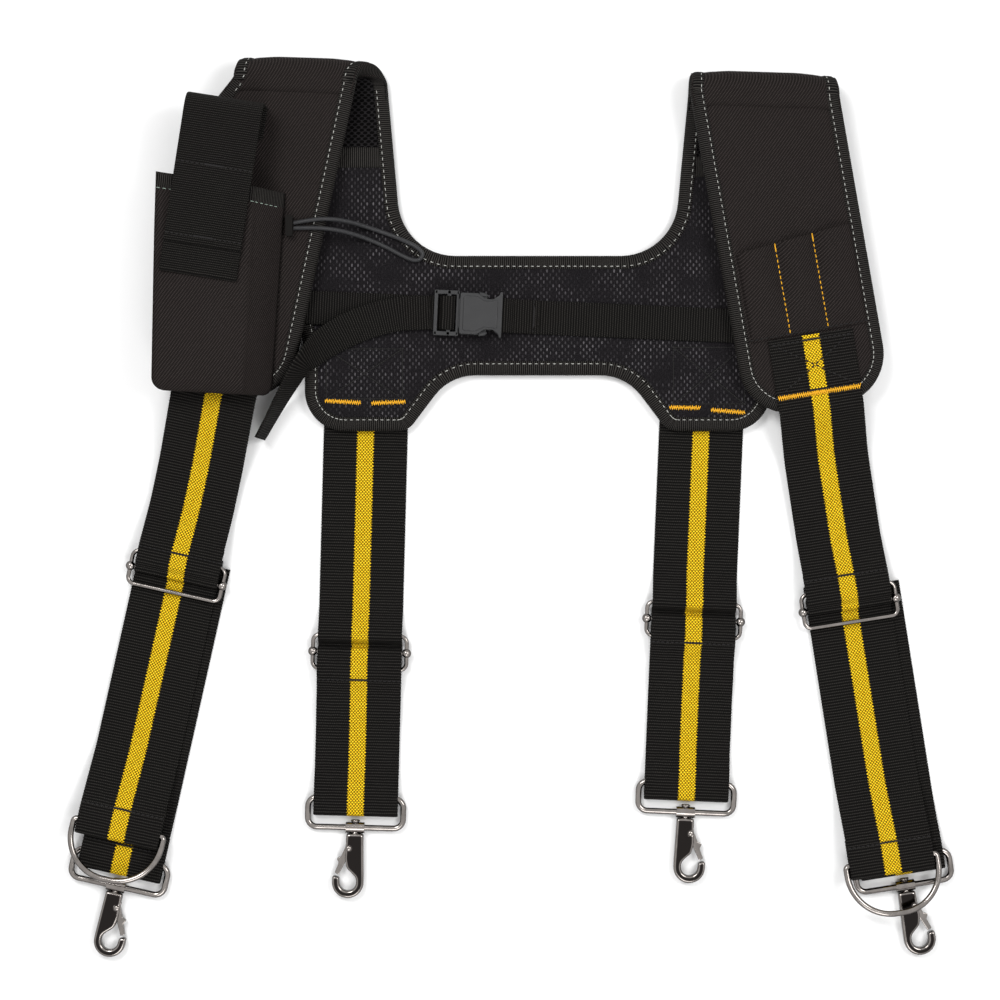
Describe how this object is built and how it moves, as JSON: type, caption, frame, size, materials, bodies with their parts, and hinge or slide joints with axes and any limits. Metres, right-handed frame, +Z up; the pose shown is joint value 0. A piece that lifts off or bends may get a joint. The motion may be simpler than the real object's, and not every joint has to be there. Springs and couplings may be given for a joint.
{
  "type": "tool belt suspender harness",
  "caption": "Padded suspender harness for a tool belt: back yoke, shoulder pads with pouch and pencil pocket, chest strap, striped adjustable straps with swivel hooks.",
  "frame": {"origin": "underside of the back yoke, at its centre, on the table", "axes": "+X to the right across the back, +Y up the back to the shoulders, +Z up from the table"},
  "size_m": [0.5249, 0.5307, 0.0492],
  "materials": {
    "black_nickel": "black nickel plate",
    "buckle_plastic": "fine matte moulded",
    "elastic": "braided cover",
    "foam": "cut foam",
    "air_mesh": "open knit",
    "binding_tape": "ribbed tape",
    "pad_cloth": "twill",
    "narrow_webbing": "ribbed",
    "webbing": "ribbed with a yellow stripe"
  },
  "bodies": {
    "yoke": {"yoke_shell": "pad_cloth", "yoke_foam": "foam", "yoke_lining": "air_mesh", "yoke_binding": "binding_tape", "rear_strap_left": "webbing", "rear_strap_right": "webbing"},
    "front": {"shoulder_bend_left": "air_mesh", "shoulder_bend_right": "air_mesh", "front_pad_left": "pad_cloth", "front_pad_right": "pad_cloth", "front_binding_left": "binding_tape", "front_binding_right": "binding_tape", "front_strap_left": "webbing", "front_strap_right": "webbing", "slider_frame_front_left": "black_nickel", "slider_frame_front_right": "black_nickel", "slider_bar_front_left": "black_nickel", "slider_bar_front_right": "black_nickel", "pouch_body": "pad_cloth", "flap_anchor": "webbing", "closure_patch": "webbing", "cord_tab": "pad_cloth", "elastic_cord": "elastic", "pencil_pocket": "pad_cloth", "chest_strap_right": "narrow_webbing", "chest_strap_left": "narrow_webbing", "chest_strap_tail": "narrow_webbing", "buckle_socket": "buckle_plastic"},
    "flap": {"pouch_flap": "webbing"},
    "plug": {"buckle_plug": "buckle_plastic", "buckle_arms": "buckle_plastic"},
    "rear_left_slider": {"slider_frame_rear_left": "black_nickel", "slider_bar_rear_left": "black_nickel"},
    "rear_left_run": {"rear_loop_left": "webbing"},
    "rear_left_ring": {"base_ring_rear_left": "black_nickel"},
    "rear_left_hook": {"hook_rear_left": "black_nickel", "gate_pin_rear_left": "black_nickel"},
    "rear_left_gate": {"gate_rear_left": "black_nickel"},
    "rear_right_slider": {"slider_frame_rear_right": "black_nickel", "slider_bar_rear_right": "black_nickel"},
    "rear_right_run": {"rear_loop_right": "webbing"},
    "rear_right_ring": {"base_ring_rear_right": "black_nickel"},
    "rear_right_hook": {"hook_rear_right": "black_nickel", "gate_pin_rear_right": "black_nickel"},
    "rear_right_gate": {"gate_rear_right": "black_nickel"},
    "front_left_run": {"front_run_left": "webbing"},
    "front_left_tail": {"front_tail_left": "webbing"},
    "front_left_belt_ring": {"belt_ring_left": "black_nickel"},
    "front_left_ring": {"base_ring_front_left": "black_nickel"},
    "front_left_hook": {"hook_front_left": "black_nickel", "gate_pin_front_left": "black_nickel"},
    "front_left_gate": {"gate_front_left": "black_nickel"},
    "front_right_run": {"front_run_right": "webbing"},
    "front_right_tail": {"front_tail_right": "webbing"},
    "front_right_belt_ring": {"belt_ring_right": "black_nickel"},
    "front_right_ring": {"base_ring_front_right": "black_nickel"},
    "front_right_hook": {"hook_front_right": "black_nickel", "gate_pin_front_right": "black_nickel"},
    "front_right_gate": {"gate_front_right": "black_nickel"}
  },
  "joints": [
    {"name": "shoulder_fold", "type": "hinge", "parent": "yoke", "child": "front", "pos_m": [0, 0.133, 0.0124], "axis": [-0.9995, 0.0314, 0], "range_deg": [0, 110], "deforming": ["shoulder_bend_left", "shoulder_bend_right"]},
    {"name": "flap_hinge", "type": "hinge", "parent": "front", "child": "flap", "pos_m": [-0.18019, 0.12267, 0.02528], "axis": [-0.9877, 0.1564, 0.0049], "range_deg": [0, 85]},
    {"name": "buckle_release", "type": "slide", "parent": "front", "child": "plug", "axis": [-0.999, 0.0436, 0], "range_m": [0, 0.026], "deforming": ["buckle_arms", "chest_strap_left", "chest_strap_tail"]},
    {"name": "rear_left_adjust", "type": "slide", "parent": "yoke", "child": "rear_left_slider", "axis": [0.0262, 0.9997, 0], "range_m": [-0.01, 0.02], "deforming": ["rear_strap_left", "rear_loop_left"]},
    {"name": "rear_left_loop_travel", "type": "slide", "parent": "rear_left_slider", "child": "rear_left_run", "axis": [0.0262, 0.9997, 0], "range_m": [-0.01, 0.005], "deforming": ["rear_strap_left", "rear_loop_left"]},
    {"name": "rear_left_ring_tilt", "type": "hinge", "parent": "rear_left_run", "child": "rear_left_ring", "pos_m": [-0.10779, -0.28582, 0.00335], "axis": [-0.9997, 0.0262, 0], "range_deg": [0, 110]},
    {"name": "rear_left_swivel", "type": "hinge", "parent": "rear_left_ring", "child": "rear_left_hook", "pos_m": [-0.10824, -0.30332, 0.00335], "axis": [0.0262, 0.9997, 0], "continuous": true},
    {"name": "rear_left_gate_pivot", "type": "hinge", "parent": "rear_left_hook", "child": "rear_left_gate", "pos_m": [-0.11196, -0.31543, 0.00335], "axis": [0, 0, 1], "range_deg": [0, 24], "stiffness_Nm_per_rad": 0.01},
    {"name": "rear_right_adjust", "type": "slide", "parent": "yoke", "child": "rear_right_slider", "axis": [0.0419, 0.9991, 0], "range_m": [-0.01, 0.02], "deforming": ["rear_strap_right", "rear_loop_right"]},
    {"name": "rear_right_loop_travel", "type": "slide", "parent": "rear_right_slider", "child": "rear_right_run", "axis": [0.0419, 0.9991, 0], "range_m": [-0.01, 0.005], "deforming": ["rear_strap_right", "rear_loop_right"]},
    {"name": "rear_right_ring_tilt", "type": "hinge", "parent": "rear_right_run", "child": "rear_right_ring", "pos_m": [0.08825, -0.27672, 0.00335], "axis": [-0.9991, 0.0419, 0], "range_deg": [0, 110]},
    {"name": "rear_right_swivel", "type": "hinge", "parent": "rear_right_ring", "child": "rear_right_hook", "pos_m": [0.08751, -0.2942, 0.00335], "axis": [0.0419, 0.9991, 0], "continuous": true},
    {"name": "rear_right_gate_pivot", "type": "hinge", "parent": "rear_right_hook", "child": "rear_right_gate", "pos_m": [0.0904, -0.30653, 0.00335], "axis": [0, 0, -1], "range_deg": [0, 24], "stiffness_Nm_per_rad": 0.01},
    {"name": "front_left_adjust", "type": "slide", "parent": "front", "child": "front_left_run", "axis": [-0.2181, -0.9759, 0], "range_m": [-0.015, 0.015], "deforming": ["front_run_left", "front_tail_left"]},
    {"name": "front_left_tail_travel", "type": "slide", "parent": "front", "child": "front_left_tail", "axis": [-0.2181, -0.9759, 0], "range_m": [-0.015, 0.015], "deforming": ["front_run_left", "front_tail_left"]},
    {"name": "front_left_belt_ring_tilt", "type": "hinge", "parent": "front_left_tail", "child": "front_left_belt_ring", "pos_m": [-0.24706, -0.30231, 0.0108], "axis": [-0.9759, 0.2181, 0], "range_deg": [0, 120]},
    {"name": "front_left_ring_tilt", "type": "hinge", "parent": "front_left_run", "child": "front_left_ring", "pos_m": [-0.24611, -0.32097, 0.00335], "axis": [-0.9759, 0.2181, 0], "range_deg": [0, 12]},
    {"name": "front_left_swivel", "type": "hinge", "parent": "front_left_ring", "child": "front_left_hook", "pos_m": [-0.24992, -0.33805, 0.00335], "axis": [0.2181, 0.9759, 0], "continuous": true},
    {"name": "front_left_gate_pivot", "type": "hinge", "parent": "front_left_hook", "child": "front_left_gate", "pos_m": [-0.24927, -0.3507, 0.00335], "axis": [0, 0, -1], "range_deg": [0, 24], "stiffness_Nm_per_rad": 0.01},
    {"name": "front_right_adjust", "type": "slide", "parent": "front", "child": "front_right_run", "axis": [0.1564, -0.9877, 0], "range_m": [-0.015, 0.015], "deforming": ["front_run_right", "front_tail_right"]},
    {"name": "front_right_tail_travel", "type": "slide", "parent": "front", "child": "front_right_tail", "axis": [0.1564, -0.9877, 0], "range_m": [-0.015, 0.015], "deforming": ["front_run_right", "front_tail_right"]},
    {"name": "front_right_belt_ring_tilt", "type": "hinge", "parent": "front_right_tail", "child": "front_right_belt_ring", "pos_m": [0.20815, -0.32156, 0.0108], "axis": [-0.9877, -0.1564, 0], "range_deg": [0, 120]},
    {"name": "front_right_ring_tilt", "type": "hinge", "parent": "front_right_run", "child": "front_right_ring", "pos_m": [0.21506, -0.32047, 0.00335], "axis": [-0.9877, -0.1564, 0], "range_deg": [0, 12]},
    {"name": "front_right_swivel", "type": "hinge", "parent": "front_right_ring", "child": "front_right_hook", "pos_m": [0.2178, -0.33775, 0.00335], "axis": [-0.1564, 0.9877, 0], "continuous": true},
    {"name": "front_right_gate_pivot", "type": "hinge", "parent": "front_right_hook", "child": "front_right_gate", "pos_m": [0.22307, -0.34927, 0.00335], "axis": [0, 0, -1], "range_deg": [0, 24], "stiffness_Nm_per_rad": 0.01}
  ],
  "couplings": [
    {"joint": "rear_left_loop_travel", "follows": "rear_left_adjust", "ratio": -0.5},
    {"joint": "rear_right_loop_travel", "follows": "rear_right_adjust", "ratio": -0.5},
    {"joint": "front_left_tail_travel", "follows": "front_left_adjust", "ratio": -1},
    {"joint": "front_right_tail_travel", "follows": "front_right_adjust", "ratio": -1}
  ]
}
